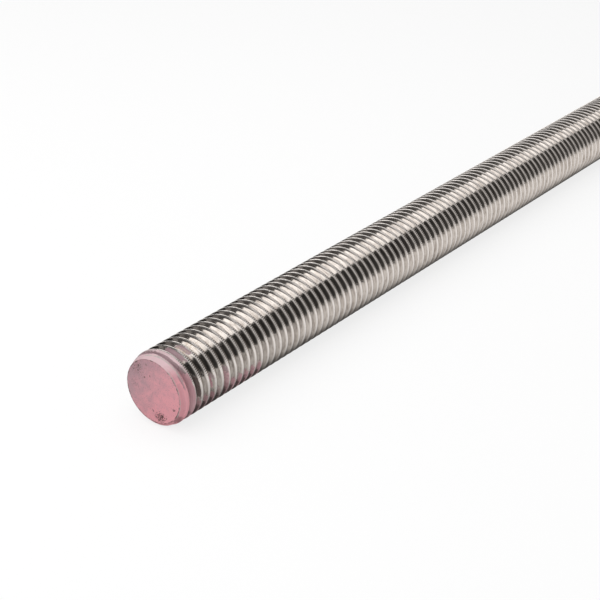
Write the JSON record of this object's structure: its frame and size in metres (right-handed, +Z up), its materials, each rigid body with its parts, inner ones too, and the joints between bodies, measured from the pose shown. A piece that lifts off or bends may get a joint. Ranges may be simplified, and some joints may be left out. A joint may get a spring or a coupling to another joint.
{
  "type": "threaded rod",
  "caption": "Straight round bar of stainless steel, threaded from end to end, chamfered at both ends and marked with pink paint at one.",
  "frame": {"origin": "on the axis, at the centre of the painted end's flat face", "axes": "+X along the rod from the painted end to the plain end; +Z up with the rod lying level; the thread starts at the painted end"},
  "size_m": [0.3048, 0.019, 0.019],
  "materials": {
    "stainless_steel": "rolled thread with bright crests and flanks; faded pink marking paint on the end at x = 0, its chamfer and the first turns"
  },
  "bodies": {
    "root": {"rod": "stainless_steel"}
  },
  "joints": []
}
